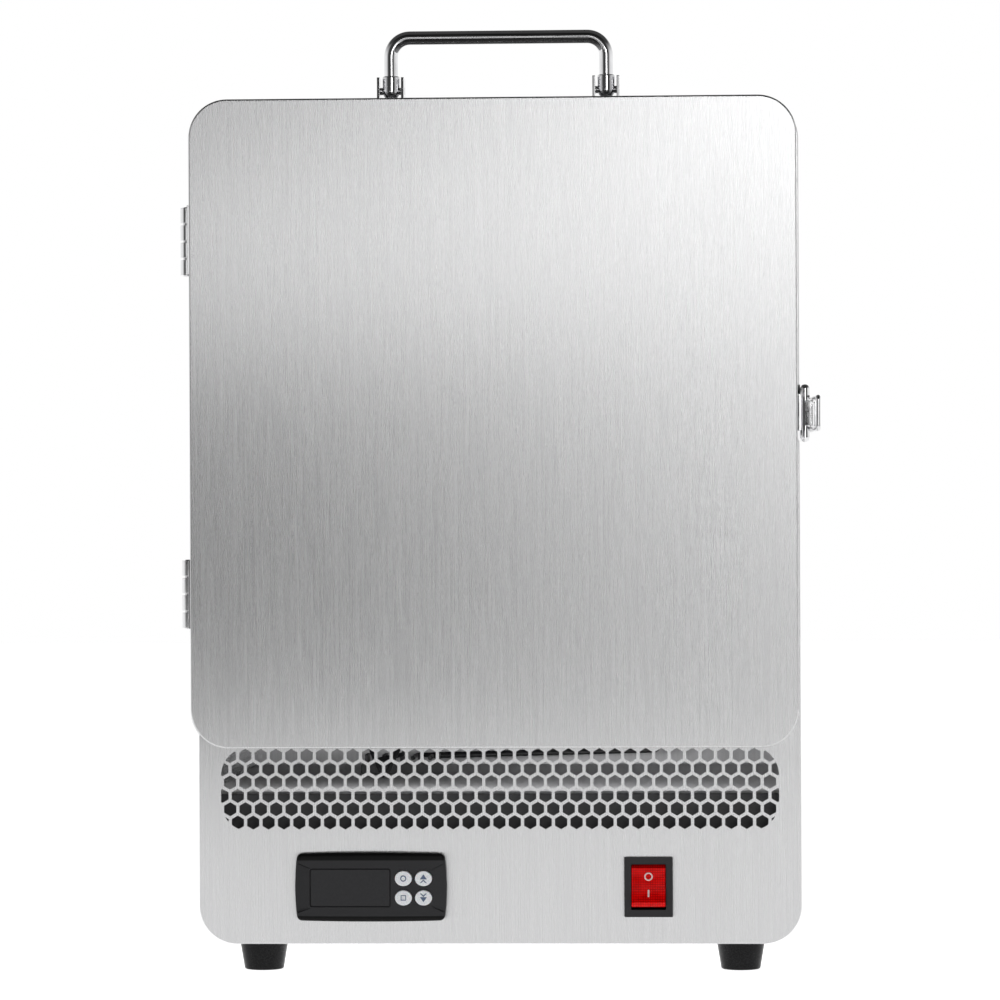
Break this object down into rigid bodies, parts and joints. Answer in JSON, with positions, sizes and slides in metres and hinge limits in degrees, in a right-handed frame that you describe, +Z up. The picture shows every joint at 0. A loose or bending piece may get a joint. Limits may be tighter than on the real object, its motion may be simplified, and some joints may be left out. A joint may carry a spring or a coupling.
{
  "type": "food dehydrator",
  "caption": "Brushed steel countertop food dehydrator with a hinged door, wire drying trays, hexagon vent grille, digital controller, power rocker and folding carry handle.",
  "frame": {"origin": "on the floor, under the centre of the machine's bounding box", "axes": "+Z up, the door faces -Y, hinges at -X, latch at +X"},
  "size_m": [0.3344, 0.3172, 0.5084],
  "materials": {
    "brushed_steel": "vertical brushed grain",
    "inner_steel": "plain rolled stainless sheet",
    "wool": "mineral wool",
    "rubber": "matte",
    "silicone": "matte silicone",
    "steel_fixings": "bright",
    "hinge_steel": "satin",
    "chrome": "polished",
    "dark_plastic": "fine satin",
    "black_plastic": "satin",
    "window": "smoked gloss",
    "button_white": "satin",
    "switch_red": "translucent red",
    "fan_metal": "black finish",
    "wire_steel": "polished wire",
    "heater_tube": "oxidised steel",
    "sensor": "plain",
    "dark_sheet": "matte dark grey",
    "wire_cover": "pvc"
  },
  "bodies": {
    "cabinet": {"front_fascia": "brushed_steel", "rear_panel": "brushed_steel", "rear_panel_screws": "steel_fixings", "chamber_liner": "inner_steel", "diffuser_floor": "inner_steel", "insulation_blanket": "wool", "tray_rack_left": "inner_steel", "tray_rack_right": "inner_steel", "foot_front_left": "rubber", "foot_rear_left": "rubber", "foot_front_right": "rubber", "foot_rear_right": "rubber", "foot_screws": "steel_fixings", "hinge_upper_frame_leaf": "hinge_steel", "hinge_lower_frame_leaf": "hinge_steel", "hinge_pins": "steel_fixings", "latch_base": "chrome", "handle_brackets": "chrome", "handle_pivot_pins": "steel_fixings", "controller_bezel": "dark_plastic", "display_window": "window", "controller_case": "dark_plastic", "controller_clips": "dark_plastic", "rocker_housing": "black_plastic", "rocker_terminals": "steel_fixings", "fan_frame": "fan_metal", "fan_guard": "wire_steel", "heater_element": "heater_tube", "heater_brackets": "steel_fixings", "thermal_cutoff": "sensor", "temperature_probe": "sensor", "baffle_shelf": "inner_steel", "controls_shroud": "dark_sheet", "terminal_block": "black_plastic", "wiring_harness": "wire_cover", "power_inlet": "black_plastic", "outer_wrap": "brushed_steel", "cabinet_rivets": "steel_fixings"},
    "door": {"door_outer_shell": "brushed_steel", "door_inner_panel": "inner_steel", "door_insulation": "wool", "door_gasket": "silicone", "hinge_upper_door_leaf": "hinge_steel", "hinge_lower_door_leaf": "hinge_steel", "door_rivets": "steel_fixings", "latch_keeper": "chrome"},
    "latch_lever": {"latch_lever": "chrome"},
    "latch_loop": {"latch_loop": "chrome"},
    "handle": {"handle_bail": "chrome"},
    "rocker": {"rocker_cap": "switch_red"},
    "impeller": {"fan_impeller": "black_plastic"},
    "button_u": {"button_u": "button_white"},
    "button_up": {"button_up": "button_white"},
    "button_p": {"button_p": "button_white"},
    "button_down": {"button_down": "button_white"},
    "tray_1": {"drying_tray_1": "wire_steel"},
    "tray_2": {"drying_tray_2": "wire_steel"},
    "tray_3": {"drying_tray_3": "wire_steel"},
    "tray_4": {"drying_tray_4": "wire_steel"},
    "tray_5": {"drying_tray_5": "wire_steel"}
  },
  "joints": [
    {"name": "door_hinge", "type": "hinge", "parent": "cabinet", "child": "door", "pos_m": [-0.1626, -0.1325, 0.29], "axis": [0, 0, -1], "range_deg": [0, 180]},
    {"name": "latch_lever_pivot", "type": "hinge", "parent": "cabinet", "child": "latch_lever", "pos_m": [0.1626, -0.106, 0.2913], "axis": [0, 0, -1], "range_deg": [0, 150]},
    {"name": "latch_loop_pivot", "type": "hinge", "parent": "latch_lever", "child": "latch_loop", "pos_m": [0.1644, -0.097, 0.2913], "axis": [0, 0, -1], "range_deg": [-180, 0]},
    {"name": "handle_pivot", "type": "hinge", "parent": "cabinet", "child": "handle", "pos_m": [-0.0056, 0.0125, 0.475], "axis": [1, 0, 0], "range_deg": [-90, 90]},
    {"name": "rocker_pivot", "type": "hinge", "parent": "cabinet", "child": "rocker", "pos_m": [0.0778, -0.1295, 0.0449], "axis": [1, 0, 0], "range_deg": [0, 16]},
    {"name": "fan_spin", "type": "hinge", "parent": "cabinet", "child": "impeller", "pos_m": [-0.063, 0, 0.1345], "axis": [0, 0, 1], "continuous": true},
    {"name": "button_u_press", "type": "slide", "parent": "cabinet", "child": "button_u", "axis": [0, 1, 0], "range_m": [0, 0.0007], "stiffness_N_per_m": 250},
    {"name": "button_up_press", "type": "slide", "parent": "cabinet", "child": "button_up", "axis": [0, 1, 0], "range_m": [0, 0.0007], "stiffness_N_per_m": 250},
    {"name": "button_p_press", "type": "slide", "parent": "cabinet", "child": "button_p", "axis": [0, 1, 0], "range_m": [0, 0.0007], "stiffness_N_per_m": 250},
    {"name": "button_down_press", "type": "slide", "parent": "cabinet", "child": "button_down", "axis": [0, 1, 0], "range_m": [0, 0.0007], "stiffness_N_per_m": 250},
    {"name": "tray_1_slide", "type": "slide", "parent": "cabinet", "child": "tray_1", "axis": [0, -1, 0], "range_m": [0, 0.175]},
    {"name": "tray_2_slide", "type": "slide", "parent": "cabinet", "child": "tray_2", "axis": [0, -1, 0], "range_m": [0, 0.175]},
    {"name": "tray_3_slide", "type": "slide", "parent": "cabinet", "child": "tray_3", "axis": [0, -1, 0], "range_m": [0, 0.175]},
    {"name": "tray_4_slide", "type": "slide", "parent": "cabinet", "child": "tray_4", "axis": [0, -1, 0], "range_m": [0, 0.175]},
    {"name": "tray_5_slide", "type": "slide", "parent": "cabinet", "child": "tray_5", "axis": [0, -1, 0], "range_m": [0, 0.175]}
  ],
  "couplings": [
    {"joint": "latch_loop_pivot", "follows": "latch_lever_pivot", "ratio": -1.2},
    {"joint": "tray_1_slide", "follows": "door_hinge", "m_per_rad": 0.055},
    {"joint": "tray_2_slide", "follows": "door_hinge", "m_per_rad": 0.055},
    {"joint": "tray_3_slide", "follows": "door_hinge", "m_per_rad": 0.055},
    {"joint": "tray_4_slide", "follows": "door_hinge", "m_per_rad": 0.055},
    {"joint": "tray_5_slide", "follows": "door_hinge", "m_per_rad": 0.055}
  ]
}
